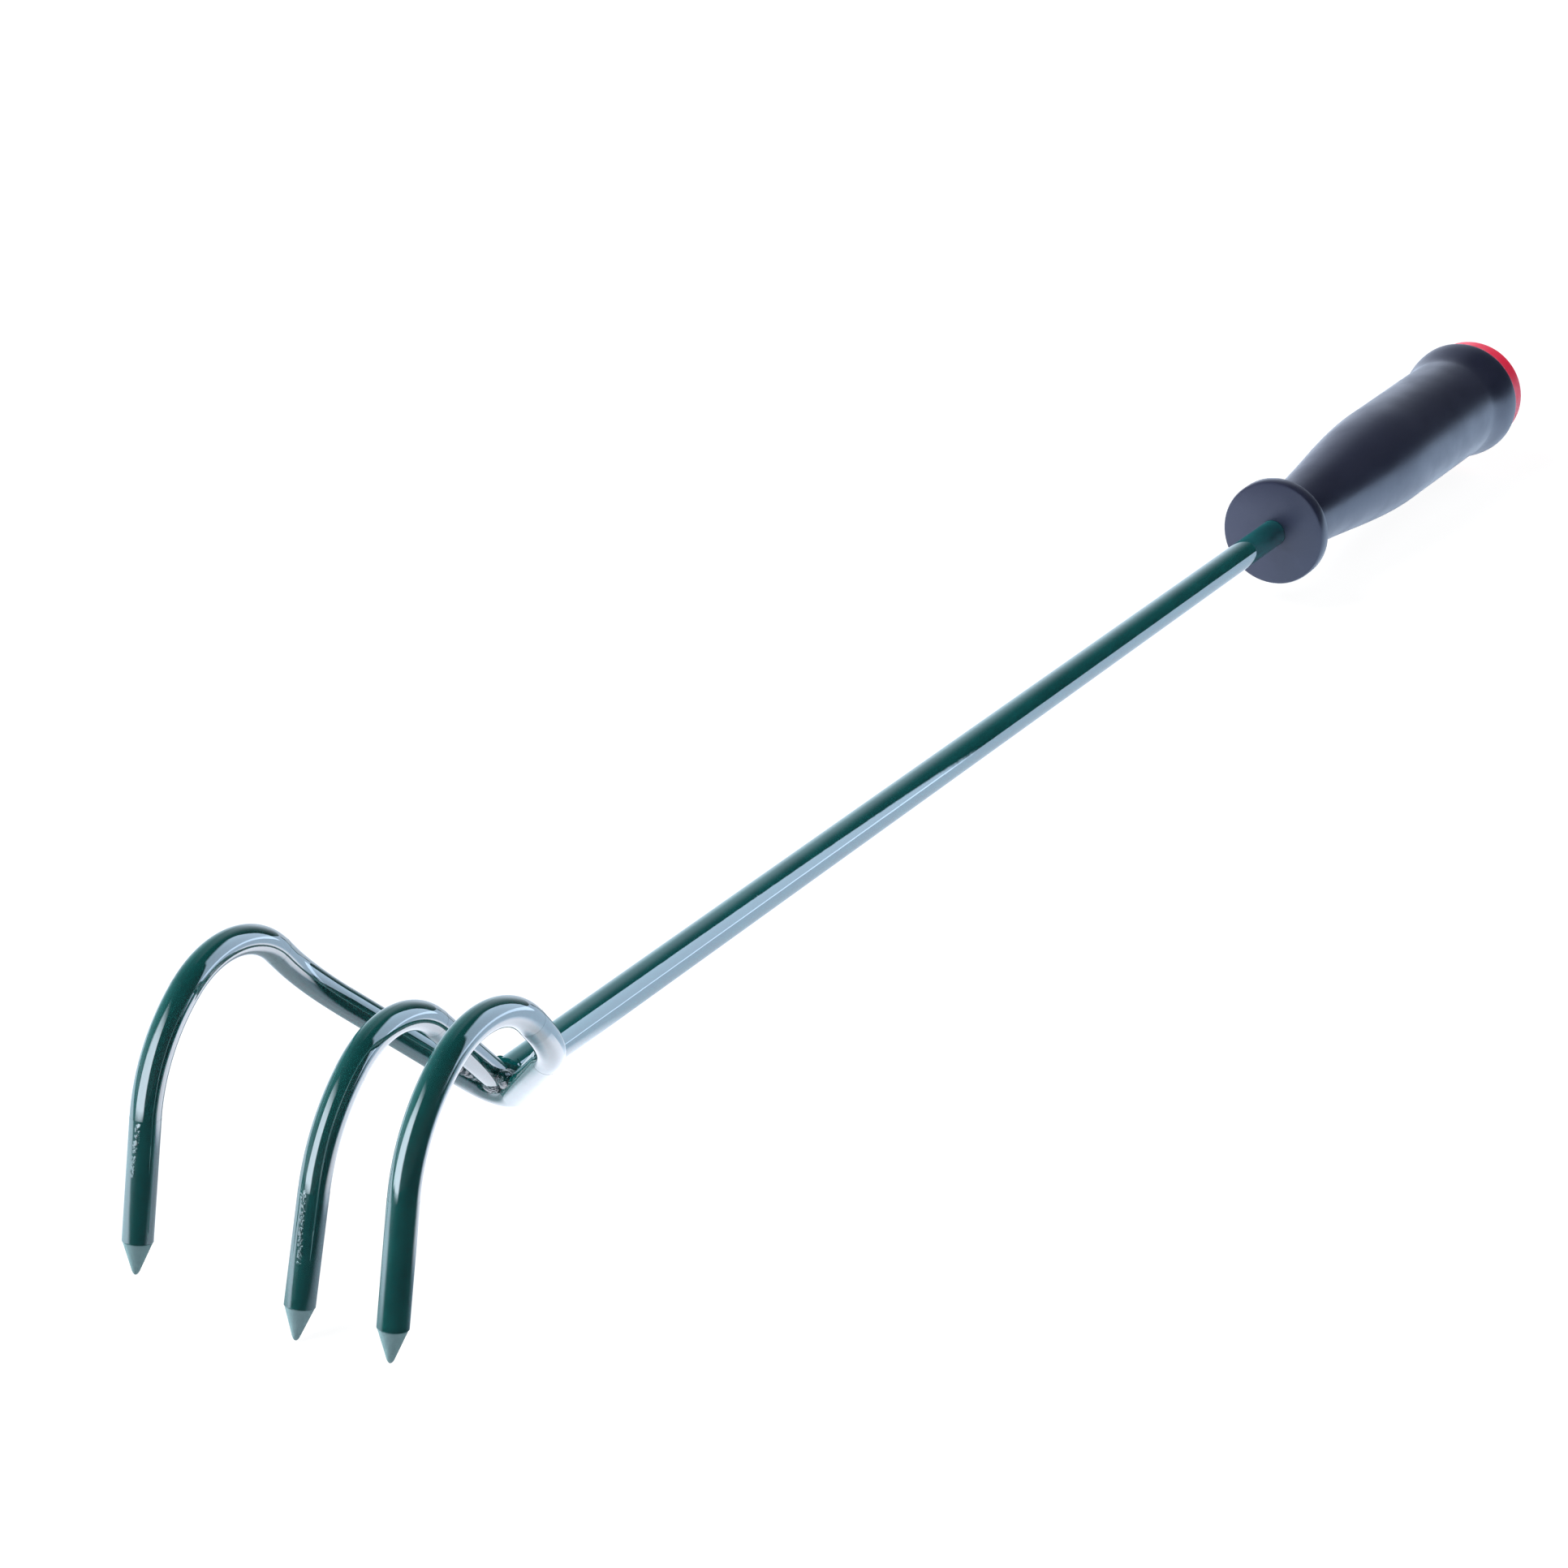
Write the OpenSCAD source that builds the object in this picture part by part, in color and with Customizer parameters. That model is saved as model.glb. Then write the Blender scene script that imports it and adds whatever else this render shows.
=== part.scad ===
// Three prong cultivator: a round bar, three claws bent from round rod, two welds and a moulded handle.
// +X runs from the handle to the claws and +Z is up, with the points down.
// The origin lies on the floor, under the middle of the tool.

/* [Bar] */
// Diameter of the round bar
bar_d = 7.8; // [6.6:0.1:9]
// Length of bar that shows between the weld and the guard
bar_shown = 384.5; // [250:0.5:500]
// Length of the bar's tang inside the handle
tang_length = 118; // [80:1:125]

/* [Outer claws] */
// Diameter of the rod that the claws are bent from
rod_d = 6; // [5:0.1:7]
// Distance between the two outer points
claw_span = 59.8; // [52:0.2:72]
// How far forward of the V the outer arms turn upwards
arm_forward = 24.9; // [23:0.1:27]
// How far above the V the outer arms turn upwards
arm_up = 30.7; // [28:0.1:33]
// How far forward the outer claws bend over
crest_forward = 44.8; // [43:0.1:48]
// Height at which the two lines of that bend would meet
crest_up = 54.4; // [52:0.1:59]
// How far forward the outer claws turn down
shoulder_forward = 71; // [69:0.1:76]
// Height at which the outer claws turn down
shoulder_up = 35.5; // [32:0.1:38]
// How far forward the outer points reach
point_forward = 80.2; // [77:0.1:84]
// How far below the V the outer points reach
point_drop = 7.9; // [5:0.1:13]

/* [Centre claw] */
// How far forward the centre claw bends over
centre_crest_forward = 35.2; // [34:0.1:38]
// Height at which the two lines of that bend would meet
centre_crest_up = 40.8; // [38:0.1:42]
// How far forward the centre claw turns down
centre_shoulder_forward = 59.1; // [57:0.1:62]
// Height at which the centre claw turns down
centre_shoulder_up = 21.6; // [19:0.1:23]
// How far forward the centre point reaches
centre_point_forward = 70.7; // [67:0.1:74]
// How far below the V the centre point reaches
centre_point_drop = 18; // [14:0.1:23]

/* [Bends] */
// Radius of the V bend, along the rod's centre line
vee_bend = 6.5; // [5.5:0.1:7.5]
// Radius where the outer arms turn upwards
arm_bend = 27.9; // [20:0.1:34]
// Radius of the outer claws' crest
crest_bend = 20.1; // [14:0.1:23]
// Radius where the outer claws turn down
shoulder_bend = 34.5; // [20:0.1:38]
// Radius of the centre claw's crest
centre_crest_bend = 19.2; // [12:0.1:22]
// Radius where the centre claw turns down
centre_shoulder_bend = 38.5; // [20:0.1:42]

/* [Points] */
// Length of the conical points
cone_length = 6.8; // [5:0.1:9]
// Radius of the blunted ends
nose_r = 0.6; // [0.4:0.1:1]

/* [Handle] */
// Diameter of the guard in front of the hand
guard_d = 31; // [26:0.1:36]
// Thickness of the guard
guard_thick = 5.1; // [4:0.1:6]
// Diameter of the neck behind the guard
neck_d = 19.8; // [18.6:0.1:22]
// Diameter of the belly
belly_d = 32.2; // [28:0.1:36]
// Diameter of the waist
waist_d = 32.6; // [27:0.1:36]
// Largest diameter of the flared end
flare_d = 37; // [34:0.1:40]
// Diameter of the red end where it leaves the grip
butt_d = 34.8; // [32:0.1:36]
// Distance from the guard's face to the middle of the belly
belly_at = 84.5; // [70:0.5:95]
// Length of the flare behind the waist
flare_length = 16; // [12:0.5:30]
// Length of the black grip
grip_length = 154.2; // [145:0.1:165]
// Length of the red end behind the grip
cap_length = 10.3; // [7:0.1:12]

/* [Hidden] */
$fn = 96;

rod_r = rod_d / 2;
bar_r = bar_d / 2;
joint_gap = 0.05;
touch_gap = 0.1;
// Bending draws the rod a little thinner, so each straight length laps this far over the bends beside it.
bend_draw = 0.02;
bend_lap = 0.25;
clip = 400;

// The claws are laid out from the corner of the V, which is the point where the lines of its two arms meet.
half = claw_span / 2;
vee = [0, 0, 0];
arm = [arm_forward, half, arm_up];
crest = [crest_forward, half, crest_up];
shoulder = [shoulder_forward, half, shoulder_up];
point = [point_forward, half, -point_drop];
outer_path = [point, shoulder, crest, arm, vee, flip(arm), flip(crest), flip(shoulder), flip(point)];
outer_bends = [shoulder_bend, crest_bend, arm_bend, vee_bend, arm_bend, crest_bend, shoulder_bend];

// Direction in which the V opens, the direction square to it, and the bottom of the bent rod's centre line
open_dir = unit([arm_forward, 0, arm_up]);
back_dir = [-open_dir.z, 0, open_dir.x];
open_half_angle = acos(unit(arm) * open_dir);
vee_bottom = open_dir * vee_bend * (1 / sin(open_half_angle) - 1);

// The centre claw's root sits in the V, a little above the plane of its arms.
root_ahead = rod_d * 0.8;
root_above = rod_d * 0.25;
root = vee_bottom + open_dir * root_ahead + back_dir * root_above;
centre_path = [
    root,
    [centre_crest_forward, 0, centre_crest_up],
    [centre_shoulder_forward, 0, centre_shoulder_up],
    [centre_point_forward, 0, -centre_point_drop]
];
centre_bends = [centre_crest_bend, centre_shoulder_bend];

// The bar ends against the back of the V, with its axis a little above the bottom of the bend.
bar_above = rod_d * 0.347;
bar_z = vee_bottom.z + bar_above;
bar_end = vee_bottom.x - rod_r - touch_gap;
guard_face = bar_end - bar_shown;

// Handle lengths, counted backwards from the guard's face
neck_at = guard_thick + 1.1;
rim_round = 0.9;
flare_back = 0.9;
waist_at = grip_length - flare_length;
core_start = guard_thick + 1.5;
core_d = neck_d - 5;
tang_flat = 0.82;
flat_start = 30;
flat_length = 36;
cap_taper = 0.5;
drop_round = 2.3;
dome = 0.6;
gate_d = 13;
gate_deep = 0.8;

// Weld metal
bead_r = rod_r * 0.6;
ring_beads = 11;
ring_r = bar_r * 0.8;
side_beads = 5;
weld_parting = rod_r * 0.6;

// Placing of the whole tool: the middle of its length over the origin, its lowest point on the floor
lean = unit(point - shoulder);
front = point_forward + cone_length * (-lean.x) + rod_r * (-lean.z);
rear = guard_face - grip_length - cap_length - dome;
centre_lean = unit(centre_path[3] - centre_path[2]);
floor_z = -centre_point_drop - nose_r * 0.4 * centre_lean.x;

function unit(v) = v / norm(v);
function flip(p) = [p.x, -p.y, p.z];
function mix(a, b, t) = a + (b - a) * t;
function ease(t) = t * t * (3 - 2 * t);

// How far back from corner i of a path its bend starts
function setback(path, bends, i) =
    i == 0 || i == len(path) - 1 ? 0
    : bends[i - 1] / tan(acos(unit(path[i - 1] - path[i]) * unit(path[i + 1] - path[i])) / 2);

// The largest share of the stated bend radii for which every straight length stays positive
function bend_share(path, bends) = min(1, min([
    for (i = [1 : len(path) - 1])
        0.995 * norm(path[i] - path[i - 1]) / (setback(path, bends, i) + setback(path, bends, i - 1))
]));

// Puts children that stand on +Z at a point, facing a direction.
module facing(from, dir) {
    translate(from) rotate([0, acos(dir.z), atan2(dir.y, dir.x)]) children();
}

// One straight length of a path, lapping over the bends at its two ends
module straight_length(path, bends, i, d, trim_from, trim_to) {
    dir = unit(path[i + 1] - path[i]);
    start = setback(path, bends, i);
    end = setback(path, bends, i + 1);
    from = path[i] + dir * (start > 0 ? start - bend_lap : trim_from);
    to = path[i + 1] - dir * (end > 0 ? end - bend_lap : trim_to);
    facing(from, dir) cylinder(r = d / 2 + bend_draw, h = norm(to - from));
}

// One bend of a path, as an arc of round rod
module bend(path, bends, i, d) {
    a = unit(path[i - 1] - path[i]);
    b = unit(path[i + 1] - path[i]);
    inner = acos(a * b);
    r = bends[i - 1];
    centre = path[i] + unit(a + b) * r / sin(inner / 2);
    u = unit(path[i] + a * setback(path, bends, i) - centre);
    v = -a;
    w = cross(u, v);
    multmatrix([[u.x, v.x, w.x, centre.x], [u.y, v.y, w.y, centre.y], [u.z, v.z, w.z, centre.z]])
        rotate_extrude(angle = 180 - inner) translate([r, 0]) circle(d = d);
}

// Round rod bent along a path, cut off short by the stated lengths at its two ends
module bent_rod(path, nominal_bends, d, trim_first, trim_last) {
    bends = nominal_bends * bend_share(path, nominal_bends);
    last = len(path) - 2;
    for (i = [0 : last])
        straight_length(path, bends, i, d, i == 0 ? trim_first : 0, i == last ? trim_last : 0);
    for (i = [1 : last]) bend(path, bends, i, d);
}

// Conical point with a blunted nose, ending at a corner of the path
module cone_point(tip, before) {
    dir = unit(tip - before);
    facing(tip - dir * cone_length, dir)
        rotate_extrude() polygon([
            [0, -bend_lap],
            [rod_r - bend_draw * 3, -bend_lap],
            [rod_r - bend_draw * 3, 0],
            [nose_r * 1.25, cone_length - nose_r * 1.2],
            [nose_r * 0.85, cone_length - nose_r * 0.45],
            [nose_r * 0.4, cone_length],
            [0, cone_length]
        ]);
}

module outer_rod() {
    bent_rod(outer_path, outer_bends, rod_d, cone_length, cone_length);
    cone_point(point, shoulder);
    cone_point(flip(point), flip(shoulder));
}

// The middle of the outer rod, which is all that the welds touch
module vee_rod() {
    bends = outer_bends * bend_share(outer_path, outer_bends);
    for (i = [3, 4]) straight_length(outer_path, bends, i, rod_d, 0, 0);
    bend(outer_path, bends, 4, rod_d);
}

// The straight root of the centre claw
module root_rod() {
    straight_length(centre_path, centre_bends * bend_share(centre_path, centre_bends), 0, rod_d, 0, 0);
}

module centre_rod() {
    bent_rod(centre_path, centre_bends, rod_d, 0, cone_length);
    cone_point(centre_path[3], centre_path[2]);
}

// The bar with its flattened tang; the extra size makes the hole for it in the core.
module bar(extra) {
    difference() {
        translate([guard_face - tang_length - extra, 0, bar_z])
            rotate([0, 90, 0]) cylinder(r = bar_r + extra, h = tang_length + bar_shown + extra);
        for (side = [-1, 1])
            translate([
                guard_face - flat_start - flat_length + extra,
                -clip / 2,
                bar_z + (side > 0 ? bar_r * tang_flat + extra : -bar_r * tang_flat - extra - clip)
            ]) cube([flat_length - 2 * extra, clip, clip]);
    }
}

// Turns a profile, drawn as distance behind the guard's face against radius, about the bar's axis.
module turned() {
    translate([guard_face, 0, bar_z]) rotate([0, -90, 0]) rotate_extrude() rotate(90) mirror([0, 1]) children();
}

function run(from, to, steps) = [
    for (i = [1 : steps]) [mix(from.x, to.x, i / steps), mix(from.y, to.y, ease(i / steps))]
];

// Outline of the grip: guard, neck, belly, waist and flared end
function grip_outline() = concat(
    [
        [0, guard_d / 2 - rim_round],
        [rim_round * 0.3, guard_d / 2 - rim_round * 0.3],
        [rim_round, guard_d / 2],
        [guard_thick - rim_round, guard_d / 2],
        [guard_thick - rim_round * 0.3, guard_d / 2 - rim_round * 0.3],
        [guard_thick, guard_d / 2 - rim_round],
        [guard_thick, neck_d / 2 + rim_round],
        [neck_at - rim_round * 0.5, neck_d / 2 + rim_round * 0.3],
        [neck_at, neck_d / 2]
    ],
    run([neck_at, neck_d / 2], [belly_at, belly_d / 2], 30),
    run([belly_at, belly_d / 2], [waist_at, waist_d / 2], 16),
    run([waist_at, waist_d / 2], [grip_length - flare_back, flare_d / 2], 20),
    [
        for (i = [1 : 6])
            [grip_length - flare_back * (1 - i / 6), mix(flare_d / 2, butt_d / 2, 1 - cos(90 * i / 6))]
    ]
);

// Outline of the red end: a slight taper, then rounded over to a slightly domed face
function cap_outline() = concat(
    [[grip_length, butt_d / 2]],
    [
        for (i = [0 : 8])
            [
                grip_length + cap_length - drop_round * (1 - sin(90 * i / 8)),
                butt_d / 2 - cap_taper - drop_round * (1 - cos(90 * i / 8))
            ]
    ],
    [
        for (i = [1 : 3])
            [
                grip_length + cap_length + dome * ease(i / 3),
                mix(butt_d / 2 - cap_taper - drop_round, gate_d / 2, i / 3)
            ]
    ]
);

module shank() {
    color("darkslategray") bar(0);
}

module outer_tines() {
    color("darkgreen") outer_rod();
}

module centre_tine() {
    color("seagreen") centre_rod();
}

// Everything on the far side of a plane across the V, which parts the two welds
module beyond(offset, side) {
    facing(vee_bottom + open_dir * offset, open_dir)
        translate([-clip / 2, -clip / 2, side > 0 ? 0 : -clip]) cube(clip);
}

// A ring of weld metal round the bar's end, filled in against the back of the V
module shank_weld() {
    color("dimgray") difference() {
        union() {
            for (i = [0 : ring_beads - 1])
                translate([bar_end + bead_r * 0.25, 0, bar_z]) rotate([360 * (i + 0.3) / ring_beads, 0, 0])
                    translate([0, 0, ring_r]) sphere(r = bead_r);
            translate([bar_end, 0, bar_z]) rotate([0, 90, 0]) cylinder(r = bar_r * 0.9, h = rod_r);
        }
        bar(0);
        vee_rod();
        beyond(weld_parting, 1);
    }
}

// Weld metal in the corner of the V and along both sides of the centre claw's root
module tine_weld() {
    color("gray") difference() {
        union() {
            translate(vee_bottom + open_dir * rod_r * 1.25 + back_dir * root_above * 0.5)
                sphere(r = rod_r * 0.95);
            for (side = [-1, 1], i = [0 : side_beads - 1])
                translate(vee_bottom + open_dir * (rod_r * 1.35 + bead_r * 0.75 * i)
                    + back_dir * root_above * (0.9 - 0.25 * i)
                    + [0, side * (rod_r * 1.1 + bead_r * 0.33 * i), 0])
                    sphere(r = bead_r * (1.3 - 0.09 * i));
        }
        vee_rod();
        root_rod();
        beyond(weld_parting, -1);
    }
}

// The hard moulding round the tang, with the end that shows behind the grip
module handle_core() {
    color("crimson") difference() {
        turned() polygon(concat(
            [[core_start, 0], [core_start, core_d / 2], [grip_length, core_d / 2]],
            cap_outline(),
            [
                [grip_length + cap_length + dome - gate_deep, gate_d / 2 - gate_deep],
                [grip_length + cap_length + dome - gate_deep, 0]
            ]
        ));
        bar(joint_gap);
    }
}

// The black sleeve over the core
module grip() {
    color("black") difference() {
        turned() polygon(concat(
            [[0, 0]],
            grip_outline(),
            [[grip_length, core_d / 2 + joint_gap], [core_start - joint_gap, core_d / 2 + joint_gap],
             [core_start - joint_gap, 0]]
        ));
        bar(joint_gap);
    }
}

module placed() {
    translate([-(front + rear) / 2, 0, -floor_z]) children();
}

placed() shank();
placed() outer_tines();
placed() centre_tine();
placed() shank_weld();
placed() tine_weld();
placed() handle_core();
placed() grip();
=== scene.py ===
import math

import bmesh
import bpy
from mathutils import Matrix, Vector

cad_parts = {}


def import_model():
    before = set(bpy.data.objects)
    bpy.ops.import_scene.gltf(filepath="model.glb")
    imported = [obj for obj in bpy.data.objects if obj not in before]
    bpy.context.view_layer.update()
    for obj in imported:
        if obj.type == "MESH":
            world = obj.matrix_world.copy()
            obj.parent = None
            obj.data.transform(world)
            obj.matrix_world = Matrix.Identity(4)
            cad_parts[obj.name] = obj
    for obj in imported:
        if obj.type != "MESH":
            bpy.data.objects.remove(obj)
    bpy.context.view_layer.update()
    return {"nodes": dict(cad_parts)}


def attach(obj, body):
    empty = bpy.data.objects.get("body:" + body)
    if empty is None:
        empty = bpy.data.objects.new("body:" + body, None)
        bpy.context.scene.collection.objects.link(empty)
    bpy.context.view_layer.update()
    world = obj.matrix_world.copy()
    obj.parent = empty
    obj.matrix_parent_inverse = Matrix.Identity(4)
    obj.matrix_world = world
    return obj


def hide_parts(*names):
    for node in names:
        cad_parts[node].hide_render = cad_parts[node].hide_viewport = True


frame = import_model()
nodes = frame["nodes"]
scene = bpy.context.scene


# Node building

class Tree:
    """A node tree that is written as calls, each giving the socket it made."""

    def __init__(self, tree):
        self.tree = tree
        self.tree.nodes.clear()

    def node(self, kind, **settings):
        made = self.tree.nodes.new(kind)
        for key, value in settings.items():
            setattr(made, key, value)
        return made

    def put(self, value, socket):
        """Links a socket, or writes a number, a vector or a colour."""
        if isinstance(value, bpy.types.NodeSocket):
            self.tree.links.new(value, socket)
        elif isinstance(value, (tuple, list)) and len(value) == 3 and socket.type == "RGBA":
            socket.default_value = (*value, 1.0)
        else:
            socket.default_value = value

    def math(self, operation, a, b=0.0, c=0.0):
        n = self.node("ShaderNodeMath", operation=operation)
        for value, socket in zip((a, b, c), n.inputs):
            self.put(value, socket)
        return n.outputs[0]

    def plus(self, a, b):
        return self.math("ADD", a, b)

    def times(self, first, *others):
        for other in others:
            first = self.math("MULTIPLY", first, other)
        return first

    def plus_times(self, a, factor, more):
        """a * factor + more"""
        return self.math("MULTIPLY_ADD", a, factor, more)

    def vector(self, operation, output, a, b=None):
        n = self.node("ShaderNodeVectorMath", operation=operation)
        self.put(a, n.inputs[0])
        if b is not None:
            self.put(b, n.inputs[1])
        return n.outputs[output]

    def dot(self, a, b):
        return self.vector("DOT_PRODUCT", "Value", a, b)

    def minus(self, a, b):
        return self.vector("SUBTRACT", "Vector", a, b)

    def length(self, a):
        return self.vector("LENGTH", "Value", a)

    def parts(self, a):
        n = self.node("ShaderNodeSeparateXYZ")
        self.put(a, n.inputs[0])
        return n.outputs

    def scaled(self, a, factor):
        n = self.node("ShaderNodeVectorMath", operation="SCALE")
        self.put(a, n.inputs[0])
        self.put(factor, n.inputs["Scale"])
        return n.outputs["Vector"]

    def step(self, value, low, high, start=0.0, end=1.0):
        """Runs smoothly from start to end as value goes from low to high."""
        n = self.node("ShaderNodeMapRange", interpolation_type="SMOOTHSTEP")
        self.put(value, n.inputs["Value"])
        for name, v in (("From Min", low), ("From Max", high), ("To Min", start), ("To Max", end)):
            n.inputs[name].default_value = v
        return n.outputs["Result"]

    def fall(self, value, low, high):
        """Runs smoothly from 1 to 0 as value goes from low to high."""
        return self.step(value, low, high, 1.0, 0.0)

    def noise(self, position, scale, detail=2.0, roughness=0.5, distortion=0.0):
        n = self.node("ShaderNodeTexNoise")
        self.put(position, n.inputs["Vector"])
        n.inputs["Scale"].default_value = scale
        n.inputs["Detail"].default_value = detail
        n.inputs["Roughness"].default_value = roughness
        n.inputs["Distortion"].default_value = distortion
        return n.outputs["Fac"]

    def cells(self, position, scale):
        n = self.node("ShaderNodeTexVoronoi")
        self.put(position, n.inputs["Vector"])
        n.inputs["Scale"].default_value = scale
        return n.outputs["Distance"]

    def mix(self, share, a, b):
        n = self.node("ShaderNodeMix", data_type="RGBA")
        self.put(share, n.inputs["Factor"])
        self.put(a, n.inputs["A"])
        self.put(b, n.inputs["B"])
        return n.outputs["Result"]

    def curve(self, value, points):
        """A curve through (place, value) points, with places from 0 to 1."""
        low = min(y for x, y in points)
        span = max(y for x, y in points) - low
        n = self.node("ShaderNodeValToRGB")
        self.put(value, n.inputs["Fac"])
        marks = n.color_ramp.elements
        while len(marks) < len(points):
            marks.new(0.5)
        for mark, (x, y) in zip(marks, points):
            mark.position = x
            mark.color = (*((y - low) / span,) * 3, 1.0)
        return self.plus_times(n.outputs["Color"], span, low)

    def bump(self, height, depth):
        n = self.node("ShaderNodeBump")
        n.inputs["Distance"].default_value = depth
        self.put(height, n.inputs["Height"])
        return n.outputs["Normal"]

    def diffuse(self, colour):
        n = self.node("ShaderNodeBsdfDiffuse")
        self.put(colour, n.inputs["Color"])
        return n.outputs[0]

    def glow(self, kind, colour, strength=1.0):
        """A light-giving shader: an emission on a surface, or the world's background."""
        n = self.node(kind)
        self.put(colour, n.inputs["Color"])
        self.put(strength, n.inputs["Strength"])
        return n.outputs[0]

    def blend(self, share, a, b):
        n = self.node("ShaderNodeMixShader")
        for value, socket in zip((share, a, b), n.inputs):
            self.put(value, socket)
        return n.outputs[0]

    def by_ray(self, out, spread, mirrored, seen):
        """What each kind of ray finds: spread for diffuse light, mirrored for gloss and glass,
        and seen for the camera."""
        path = self.node("ShaderNodeLightPath").outputs
        mirror = self.math("MAXIMUM", path["Is Glossy Ray"], path["Is Transmission Ray"])
        shown = self.blend(path["Is Camera Ray"], self.blend(mirror, spread, mirrored), seen)
        self.put(shown, self.node(out).inputs["Surface"])


def material(name):
    """A new material, its tree, its shader's sockets, and the place of a point on the object."""
    made = bpy.data.materials.new(name)
    made.use_nodes = True
    tree = Tree(made.node_tree)
    shader = tree.node("ShaderNodeBsdfPrincipled")
    tree.put(shader.outputs["BSDF"], tree.node("ShaderNodeOutputMaterial").inputs["Surface"])
    position = tree.node("ShaderNodeTexCoord").outputs["Object"]
    return made, tree, shader.inputs, position


def dress(name, made):
    node = nodes[name]
    node.data.materials.clear()
    node.data.materials.append(made)


# Enamel

# Colours are linear light.
GREEN = (0.0052, 0.090, 0.085)
GREEN_DEEP = (0.0040, 0.074, 0.071)
# The bar's greens are lighter than the claws', as painted light for the light that falls on the bar
BAR_GREEN = (0.0050, 0.118, 0.118)
BAR_GREEN_DEEP = (0.0040, 0.100, 0.101)
# Painted glint on the runs' beads
GLINT_PALE = (0.42, 0.52, 0.53)
# Painted reflection of the floor on the points, in two tones; TEAL also tints the specks a little
TEAL = (0.215, 0.325, 0.345)
TEAL_DEEP = (0.165, 0.265, 0.282)
# The weld's greens are darker than the claws', as painted shade in the V
WELD_GREEN = (0.0036, 0.060, 0.058)
WELD_GREEN_DEEP = (0.0016, 0.020, 0.020)
BURNT = (0.22, 0.23, 0.19)

# A hard, mirror-like coat, thinner and duller over the weld metal
ENAMEL_IOR = 3.1
ENAMEL_COAT_ROUGHNESS = 0.035
WELD_IOR = 2.1
WELD_COAT_ROUGHNESS = 0.06
UNDERCOAT_ROUGHNESS = 0.45
POINT_DULLNESS = 0.80

# Texture sizes as noise scale, where a larger number is finer
CLOUDS = 95.0
SPECKS = 620.0
SPECK_PATCHES = 60.0
PEEL = 620.0
SWELLS = 170.0
BEADS = 1300.0
RUN_WOBBLE = 260.0
POINT_CLOUDS = 700.0
POINT_GRAIN = 1500.0
BURNT_PATCHES = 420.0
WELD_GRAIN = 1300.0

# Relief in metres, which is the bump's depth, and how much of it each texture takes
ENAMEL_RELIEF = 0.00006
WELD_RELIEF = 0.0008
PEEL_SHARE = 0.09
SWELL_SHARE = 0.55
SPECK_SHARE = 0.1
BEAD_SHARE = 5.0
POINT_GRAIN_SHARE = 0.8
WELD_GRAIN_SHARE = 0.10

# Sizes in metres: two of the CAD's, and a run's width
ROD_R = 0.003
POINT_LENGTH = 0.0068
RUN_WIDTH = 0.0007


def coated(t, sockets, colour, relief, ior, coat_roughness, gloss=1.0):
    """Fills the shader as a matt undercoat, with all the gloss in a clear coat over it."""
    t.put(colour, sockets["Base Color"])
    sockets["Roughness"].default_value = UNDERCOAT_ROUGHNESS
    sockets["Specular IOR Level"].default_value = 0.0
    t.put(relief, sockets["Normal"])
    t.put(relief, sockets["Coat Normal"])
    t.put(gloss, sockets["Coat Weight"])
    sockets["Coat IOR"].default_value = ior
    sockets["Coat Roughness"].default_value = coat_roughness


def enamel(name, light=GREEN, deep=GREEN_DEEP, tips=(), runs=()):
    """Dipped gloss enamel: orange peel, specks, a duller coat at the points with a painted paler
    tone for the floor they mirror, and runs with painted glints on their beads.

    A tip is a point's end and its direction. A run is its two ends."""
    made, t, sockets, where = material(name)
    colour = t.mix(t.step(t.noise(where, CLOUDS, 3.0), 0.35, 0.65), deep, light)
    patches = t.step(t.noise(where, SPECK_PATCHES, 1.0), 0.62, 0.70)
    specks = t.times(t.fall(t.cells(where, SPECKS), 0.10, 0.16), patches)
    colour = t.mix(t.times(specks, 0.12), colour, TEAL)

    height = t.times(t.noise(where, PEEL), PEEL_SHARE)
    height = t.plus(height, t.times(t.noise(where, SWELLS, 1.0), SWELL_SHARE))
    height = t.plus(height, t.times(specks, SPECK_SHARE))
    gloss = 1.0

    for start, end in runs:
        along, away, span = beside(t, where, start, end)
        within = t.times(t.step(along, 0.0, 0.15 * span), t.fall(along, 0.8 * span, span))
        ridge = t.fall(away, RUN_WIDTH * 0.15, RUN_WIDTH)
        drops = t.step(t.noise(where, BEADS, 1.0), 0.40, 0.60, 0.10, 1.0)
        beads = t.times(ridge, within, drops)
        height = t.plus(height, t.times(beads, BEAD_SHARE))
        # Painted glint: the beads are tinted pale for the highlights on them
        colour = t.mix(t.step(beads, 0.55, 0.85, 0.0, 0.8), colour, GLINT_PALE)

    for tip, direction in tips:
        along = t.plus(t.dot(t.minus(where, tip), direction), POINT_LENGTH)
        cone = t.step(along, -0.0002, 0.0003)
        rim = t.times(t.step(along, -0.0012, -0.0004), t.math("SUBTRACT", 1.0, cone))
        colour = t.mix(t.times(rim, 0.6), colour, deep)
        # Painted reflection: the points take a paler teal for the floor they mirror, under a duller
        # coat
        colour = t.mix(cone, colour, t.mix(t.noise(where, POINT_CLOUDS, 3.0), TEAL_DEEP, TEAL))
        gloss = t.plus_times(cone, -POINT_DULLNESS, gloss)
        grain = t.times(t.noise(where, POINT_GRAIN), POINT_GRAIN_SHARE)
        height = t.plus(height, t.times(cone, grain))

    relief = t.bump(height, ENAMEL_RELIEF)
    coated(t, sockets, colour, relief, ENAMEL_IOR, ENAMEL_COAT_ROUGHNESS, gloss)
    return made


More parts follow.
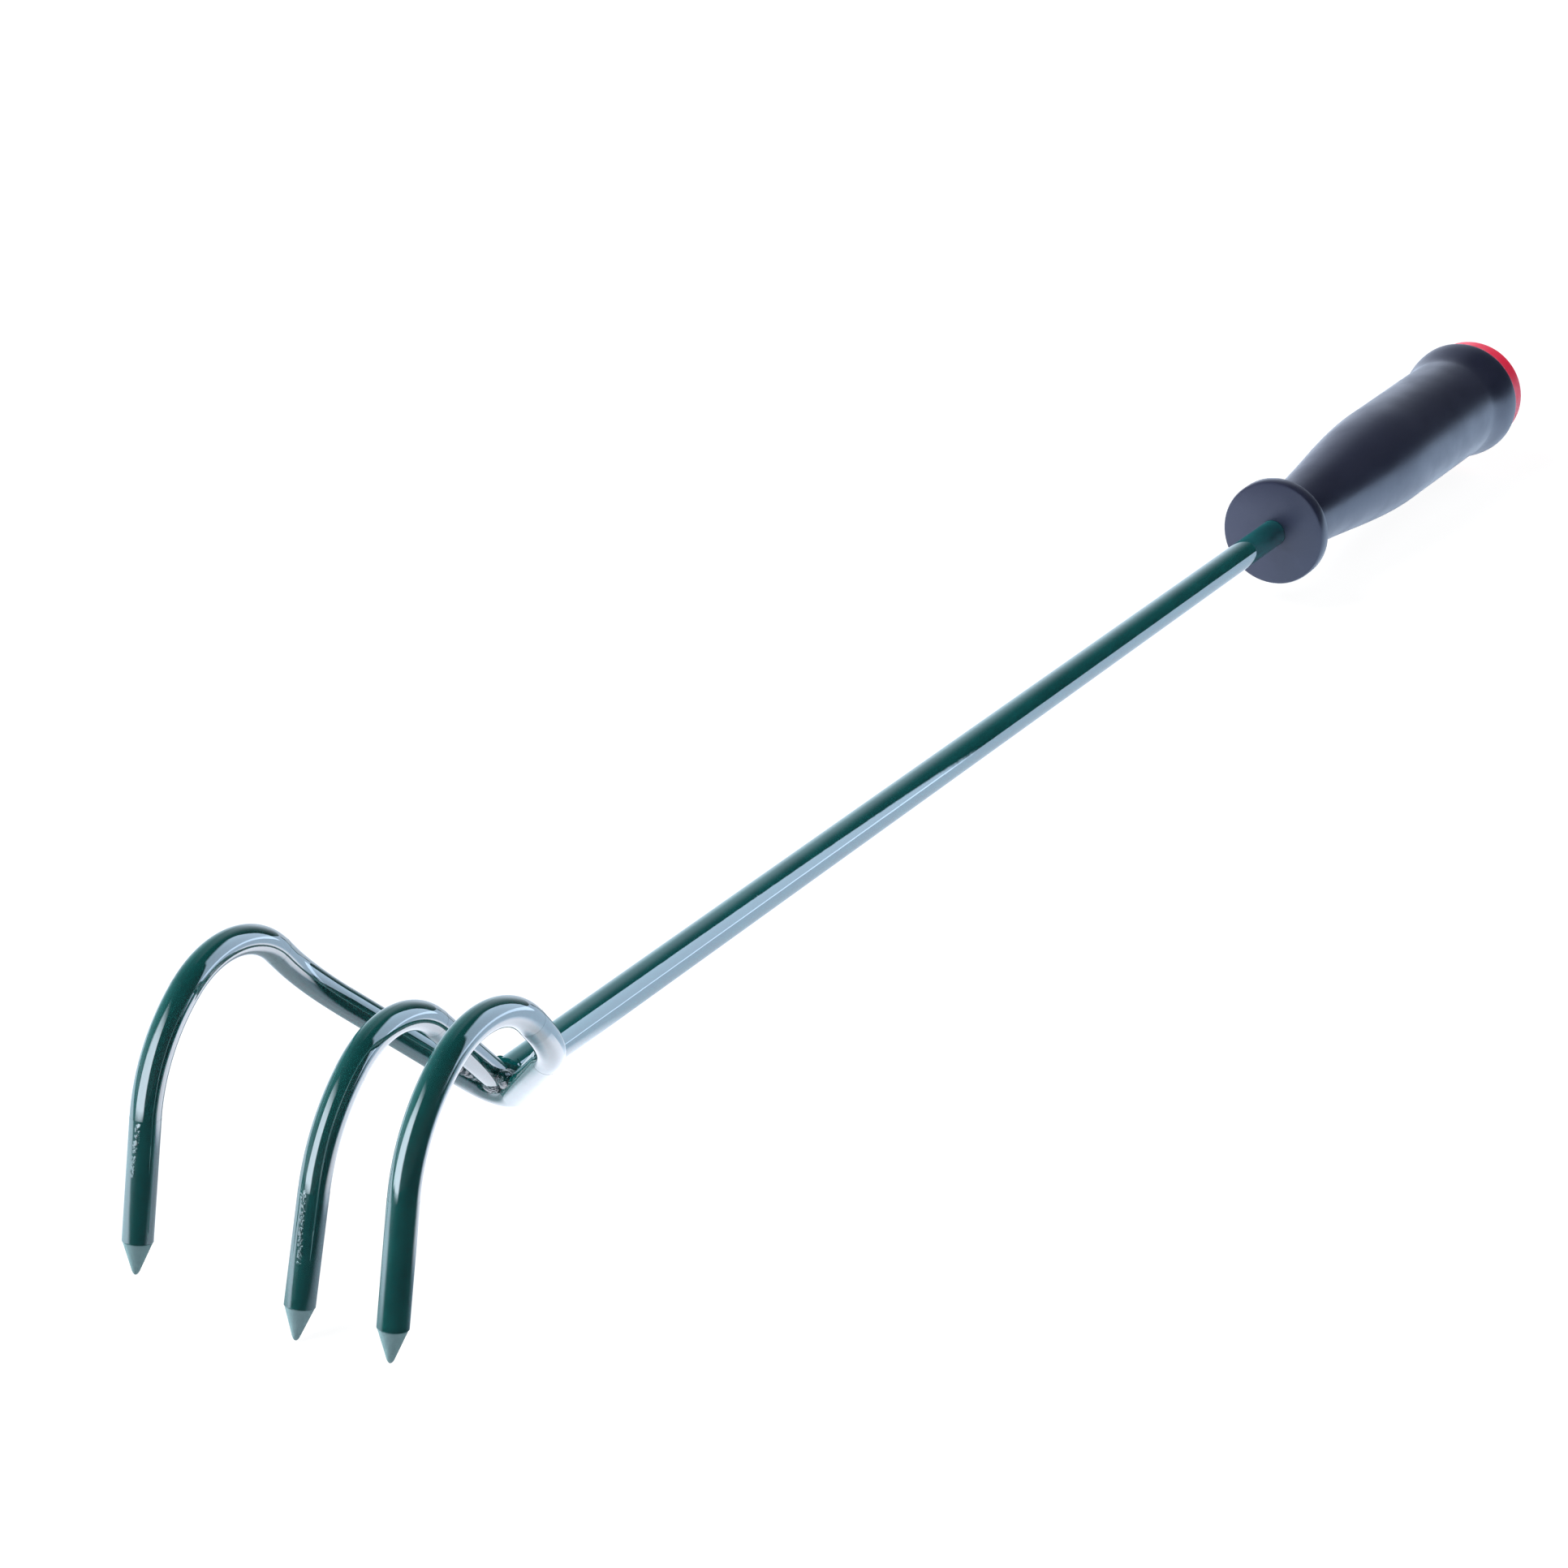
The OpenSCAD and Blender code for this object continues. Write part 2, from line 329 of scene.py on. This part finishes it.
def beside(t, where, start, end):
    """How far a point lies along a line and beside it, with a wobble, and the line's length."""
    line = end - start
    way = tuple(line.normalized())
    offset = t.minus(where, tuple(start))
    along = t.dot(offset, way)
    wobble = t.plus_times(t.noise(where, RUN_WOBBLE), 0.0012, -0.0006)
    away = t.plus(t.length(t.minus(offset, t.scaled(way, along))), wobble)
    return along, away, line.length


def lowest(name, side):
    """The lowest point of a node on one side of the tool."""
    corners = [v.co for v in nodes[name].data.vertices if v.co.y * side > -0.001]
    return Vector(min(corners, key=lambda p: p.z))


def on_leg(tip, leg, up, turn):
    """A point on the rod's skin, this far above the tip, turned by degrees from the front."""
    front = Vector((-leg.z, 0.0, leg.x))
    across = Vector((0.0, 1.0, 0.0))
    a = math.radians(turn)
    return tip - leg * up + (front * math.cos(a) + across * math.sin(a)) * ROD_R


# The claws' straight legs, as directions towards their points
outer_leg = Vector((9.2, 0.0, -43.4)).normalized()
centre_leg = Vector((11.6, 0.0, -39.6)).normalized()
tip_left = lowest("outer_tines", -1)
tip_right = lowest("outer_tines", 1)
tip_centre = lowest("centre_tine", 1)
left_run = (on_leg(tip_left, outer_leg, 0.031, 14), on_leg(tip_left, outer_leg, 0.020, 2))
centre_run = (on_leg(tip_centre, centre_leg, 0.030, -4), on_leg(tip_centre, centre_leg, 0.015, 14))

# The bar's enamel is painted a lighter green than the claws', as painted light
dress("shank", enamel("bar_enamel", BAR_GREEN, BAR_GREEN_DEEP))
dress("outer_tines", enamel(
    "outer_claw_enamel",
    tips=[(tuple(tip), tuple(outer_leg)) for tip in (tip_left, tip_right)],
    runs=[left_run]))
dress("centre_tine", enamel(
    "centre_claw_enamel",
    tips=[(tuple(tip_centre), tuple(centre_leg))],
    runs=[centre_run]))


def weld_enamel(name, ripples):
    """Enamel over weld metal: ripples, a fine grain, a trace of brown, and a darker green as
    painted shade, darkest in the ripples' hollows.
    """
    made, t, sockets, where = material(name)
    ripple = t.noise(where, ripples, distortion=0.8)
    burnt = t.step(t.noise(where, BURNT_PATCHES, roughness=0.6), 0.60, 0.68)
    # Painted shade: the ripples' hollows take the near-black green
    colour = t.mix(t.step(ripple, 0.35, 0.65), WELD_GREEN_DEEP, WELD_GREEN)
    colour = t.mix(t.times(burnt, 0.14), colour, BURNT)
    height = t.plus(ripple, t.times(t.noise(where, WELD_GRAIN), WELD_GRAIN_SHARE))
    relief = t.bump(height, WELD_RELIEF)
    coated(t, sockets, colour, relief, WELD_IOR, WELD_COAT_ROUGHNESS)
    return made


dress("shank_weld", weld_enamel("bar_weld_enamel", 360.0))
dress("tine_weld", weld_enamel("claw_weld_enamel", 420.0))


# Handle

GRIP_BLACK = (0.013, 0.015, 0.033)
GRIP_BLACK_WORN = (0.019, 0.022, 0.044)
BLOOM_TINT = (0.74, 0.84, 1.0, 1.0)
GLOSS_TINT = (0.84, 0.87, 1.0, 1.0)
CORE_RED = (0.90, 0.016, 0.060)
CORE_RED_PALE = (0.96, 0.026, 0.080)


def grip_plastic():
    """Satin black plastic: fine moulded grain and a faint bloom."""
    made, t, sockets, where = material("grip_plastic")
    cloud = t.step(t.noise(where, 38.0, 3.0), 0.3, 0.7)
    t.put(t.mix(cloud, GRIP_BLACK, GRIP_BLACK_WORN), sockets["Base Color"])
    t.put(t.step(t.noise(where, 120.0, 3.0), 0.3, 0.7, 0.31, 0.38), sockets["Roughness"])
    grain = t.plus(t.times(t.cells(where, 2600.0), 0.5), t.times(t.noise(where, 1200.0), 0.3))
    t.put(t.bump(grain, 0.00002), sockets["Normal"])
    sockets["IOR"].default_value = 1.8
    sockets["Specular Tint"].default_value = GLOSS_TINT
    sockets["Sheen Weight"].default_value = 1.0
    sockets["Sheen Roughness"].default_value = 0.17
    sockets["Sheen Tint"].default_value = BLOOM_TINT
    return made


def core_plastic():
    """Red plastic, a little mottled, with some light passing through it."""
    made, t, sockets, where = material("core_plastic")
    t.put(t.mix(t.noise(where, 70.0), CORE_RED, CORE_RED_PALE), sockets["Base Color"])
    t.put(t.step(t.noise(where, 240.0), 0.3, 0.7, 0.34, 0.44), sockets["Roughness"])
    t.put(t.bump(t.noise(where, 500.0), 0.00003), sockets["Normal"])
    sockets["IOR"].default_value = 1.3
    sockets["Subsurface Weight"].default_value = 0.35
    sockets["Subsurface Radius"].default_value = (1.0, 0.12, 0.16)
    sockets["Subsurface Scale"].default_value = 0.004
    return made


MERGE_WITHIN = 0.000005
CREASE = math.radians(32.0)


def smoothed(name, finish):
    """A copy of a turned node with its rings merged, so that light runs over it without bands."""
    source = nodes[name]
    shape = bmesh.new()
    shape.from_mesh(source.data)
    bmesh.ops.remove_doubles(shape, verts=shape.verts, dist=MERGE_WITHIN)
    for face in shape.faces:
        face.smooth = True
    for edge in shape.edges:
        edge.smooth = edge.calc_face_angle(0.0) < CREASE
    data = bpy.data.meshes.new(name + "_smooth")
    shape.to_mesh(data)
    shape.free()
    if "custom_normal" in data.attributes:
        data.attributes.remove(data.attributes["custom_normal"])
    data.materials.clear()
    data.materials.append(finish)
    made = bpy.data.objects.new(name + "_smooth", data)
    made.matrix_world = source.matrix_world
    scene.collection.objects.link(made)
    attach(made, "root")
    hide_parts(name)


smoothed("grip", grip_plastic())
smoothed("handle_core", core_plastic())


# Stage

# Where the lit paper ends in front of the tool, as x for a y, and how softly
PAPER_EDGE = [(-1.0, 0.30), (-0.65, 0.37), (-0.40, 0.43), (-0.165, 0.43), (-0.105, 0.415),
              (-0.065, 0.40), (-0.037, 0.37), (-0.012, 0.345), (0.012, 0.305), (0.037, 0.28),
              (0.065, 0.26), (0.105, 0.22), (0.165, 0.175), (0.25, 0.115), (0.40, 0.04),
              (0.65, -0.09), (1.0, -0.25)]
PAPER_SOFT = 0.035

# Tints of the mirrored surroundings: to the tool's left, to its right, and under the V
LEFT_TINT = (1.0, 1.12, 1.32)
RIGHT_TINT = (1.0, 1.28, 1.66)
NEAR_TINT = (1.0, 1.045, 1.19)

# How much brighter the painted pool of light beside the V is, and the centres of the two painted
# shadows of the tool
PATCH_GLOW = 1.28
CLAWS_SHADOW_SPOT = (0.310, 0.040, 0.0)
ARM_SHADOW_SPOT = (0.245, -0.044, 0.0)

# The floor lies a hair under the lowest point. The camera sees it glow white, with a lit grey added
# that the tool's shadow takes away again.
FLOOR_REACH = 3.0
FLOOR_DROP = 0.0002
PAPER_WHITE = (0.86, 0.87, 0.88)
SHADOW_GREY = (0.16, 0.16, 0.16)
WHITE = (1.0, 1.0, 1.0)


def mirrored_paper(t, where):
    """What the enamel mirrors of the floor.

    It is the lit paper, with a painted pool of light beside the V and painted shadows of the tool
    near the claws and the left arm, and the dark room past the paper's front edge."""
    x, y = t.parts(where)[:2]
    edge = t.curve(t.plus_times(y, 0.5, 0.5), [((at + 1) / 2, reach) for at, reach in PAPER_EDGE])
    on_paper = t.fall(t.math("SUBTRACT", x, edge), -PAPER_SOFT, PAPER_SOFT)
    front = t.fall(t.plus_times(y, -0.35, x), 0.240, 0.258)
    sides = t.times(t.step(y, -0.033, -0.019), t.fall(y, 0.06, 0.10))
    # Painted pool of light on the paper beside the V
    patch = t.times(t.step(x, 0.165, 0.20), front, sides)
    near_claws = t.length(t.minus(where, CLAWS_SHADOW_SPOT))
    near_arm = t.length(t.minus(where, ARM_SHADOW_SPOT))
    # Painted shadows of the tool on the paper near the claws and the left arm
    painted_shadows = t.times(t.step(near_claws, 0.055, 0.10, 0.45, 1.0),
                  t.step(near_arm, 0.018, 0.045, 0.55, 1.0))
    level = t.plus_times(patch, PATCH_GLOW, painted_shadows)
    beyond = t.step(y, -0.14, 0.01, 0.15, 0.02)
    tint = t.mix(t.step(y, -0.03, 0.05), LEFT_TINT, RIGHT_TINT)
    strength = t.plus_times(on_paper, level, beyond)
    return t.glow("ShaderNodeEmission", t.mix(patch, tint, NEAR_TINT), strength)


def floor():
    """White paper to the camera, with the tool's shadow on it."""
    mesh = bpy.data.meshes.new("floor")
    corners = [(x * FLOOR_REACH, y * FLOOR_REACH, 0)
               for x, y in ((-1, -1), (1, -1), (1, 1), (-1, 1))]
    mesh.from_pydata(corners, [], [(0, 1, 2, 3)])
    made = bpy.data.objects.new("floor", mesh)
    made.location = (0, 0, -FLOOR_DROP)
    scene.collection.objects.link(made)
    paper = bpy.data.materials.new("floor_paper")
    paper.use_nodes = True
    t = Tree(paper.node_tree)
    where = t.node("ShaderNodeTexCoord").outputs["Object"]
    white = t.glow("ShaderNodeEmission", WHITE, t.step(t.length(where), 0.7, 1.8, 0.91, 1.0))
    seen = t.node("ShaderNodeAddShader")
    t.put(white, seen.inputs[0])
    t.put(t.diffuse(SHADOW_GREY), seen.inputs[1])
    t.by_ray("ShaderNodeOutputMaterial",
             t.diffuse(PAPER_WHITE), mirrored_paper(t, where), seen.outputs[0])
    mesh.materials.append(paper)


floor()


# Camera

def camera():
    """The photo's camera, solved from the tool's outline."""
    data = bpy.data.cameras.new("camera")
    data.sensor_fit = "HORIZONTAL"
    data.sensor_width = 36.0
    data.lens = 78.6253
    made = bpy.data.objects.new("camera", data)
    right = Vector((-0.51289844, 0.85843899, -0.00420666))
    up = Vector((-0.34195410, -0.19981042, 0.91822829))
    turn = Matrix((right, up, right.cross(up))).transposed().to_4x4()
    made.matrix_world = Matrix.Translation((0.7291365, 0.3622579, 0.3507951)) @ turn
    scene.collection.objects.link(made)
    scene.camera = made


camera()


# Light

def heading(azimuth, elevation=0.0):
    a, e = math.radians(azimuth), math.radians(elevation)
    return Vector((math.cos(e) * math.cos(a), math.cos(e) * math.sin(a), math.sin(e)))


def lamp(name, place, out, width, height, brightness, colour, diffuse=True, glossy=True):
    """A rectangular lamp that faces away from out."""
    data = bpy.data.lights.new(name, "AREA")
    data.shape = "RECTANGLE"
    data.size = width
    data.size_y = height
    data.energy = math.pi * brightness * width * height
    data.color = colour
    made = bpy.data.objects.new(name, data)
    made.location = place
    made.rotation_euler = out.to_track_quat("Z", "Y").to_euler()
    made.visible_camera = False
    made.visible_diffuse = diffuse
    made.visible_glossy = glossy
    scene.collection.objects.link(made)
    return made


def card(name, azimuth, away, span, rise, brightness, colour, fades, slant):
    """An upright glowing card that only the gloss mirrors.

    It stands this far from the origin towards the azimuth. Its span runs along the line to the
    left of that direction, and its rise is its low and high edge. Its edges fade over these
    lengths, at its start, end, bottom and top. Slant is its brightness at the start over that at
    the end."""
    out = heading(azimuth)
    along = heading(azimuth + 90)
    start, end = span
    low, high = rise
    fade_start, fade_end, fade_low, fade_high = fades
    place = out * away + along * ((start + end) / 2) + Vector((0.0, 0.0, (low + high) / 2))
    made = lamp(name, place, out, end - start, high - low, brightness, colour, diffuse=False)
    made.data.use_nodes = True
    t = Tree(made.data.node_tree)
    where = t.node("ShaderNodeNewGeometry").outputs["Position"]
    across = t.dot(where, tuple(along))
    height = t.dot(where, (0.0, 0.0, 1.0))
    shade = t.times(
        t.step(across, start, start + fade_start), t.fall(across, end - fade_end, end),
        t.step(height, low, low + fade_low), t.fall(height, high - fade_high, high),
        t.step(across, start, end, slant, 1.0))
    glow = t.glow("ShaderNodeEmission", WHITE, shade)
    t.put(glow, t.node("ShaderNodeOutputLight").inputs["Surface"])


# The window that the claws mirror, and the card beside the bar
card("key", azimuth=-20, away=0.40, span=(0.044, 0.180), rise=(0.028, 0.250),
     brightness=2.75, colour=(0.77, 0.885, 1.0), fades=(0.022, 0.026, 0.014, 0.13), slant=0.86)
card("side_card", azimuth=125, away=0.20, span=(-0.345, 0.048), rise=(-0.01, 0.62),
     brightness=2.20, colour=(0.60, 0.775, 1.0), fades=(0.03, 0.016, 0.01, 0.20), slant=0.62)

# Broad lights that model the forms and that the gloss doesn't mirror. Each has the direction that
# it stands in, its width, its height and its brightness.
WASH_AWAY = 2.5
WASH_COLOUR = (0.95, 0.98, 1.0)
WASHES = {
    "wash": (heading(-36, 50), 1.2, 1.2, 14.0),
    "left_wash": (heading(-72, 8), 1.6, 0.7, 27.0),
    "right_wash": (heading(155, 34), 1.2, 1.2, 5.5),
}
for name, (out, width, height, brightness) in WASHES.items():
    lamp(name, out * WASH_AWAY, out, width, height, brightness, WASH_COLOUR, glossy=False)

# The room's glow by azimuth in degrees, and by the sine of the elevation
GLOW_ROUND = [(-180, 0.22), (-172, 0.48), (-164, 0.76), (-156, 0.92), (-140, 0.72),
              (-120, 0.54), (-105, 0.34), (-90, 0.20), (-60, 0.17), (-25, 0.16),
              (-8, 0.10), (10, 0.05), (30, 0.03), (100, 0.02), (145, 0.0),
              (165, 0.02), (172, 0.08), (180, 0.22)]
GLOW_UP = [(0.0, 1.35), (0.09, 1.30), (0.17, 1.15), (0.29, 0.80), (0.39, 0.57), (0.485, 0.42),
           (0.57, 0.32), (0.71, 0.22), (0.87, 0.13), (1.0, 0.09)]
GLOW_LEAST = 0.01


def world():
    """A dim studio to the tool, and white to the camera."""
    made = bpy.data.worlds.new("studio")
    made.use_nodes = True
    scene.world = made
    t = Tree(made.node_tree)
    x, y, z = t.parts(t.node("ShaderNodeTexCoord").outputs["Generated"])
    turns = t.math("DIVIDE", t.math("ARCTAN2", y, x), 2 * math.pi)
    around = t.curve(t.plus(turns, 0.5), [(azimuth / 360 + 0.5, v) for azimuth, v in GLOW_ROUND])
    brightness = t.plus_times(around, t.curve(z, GLOW_UP), GLOW_LEAST)
    studio = t.glow("ShaderNodeBackground", t.scaled(LEFT_TINT, brightness))
    t.by_ray("ShaderNodeOutputWorld", studio, studio, t.glow("ShaderNodeBackground", WHITE))


world()

scene.view_settings.view_transform = "Standard"
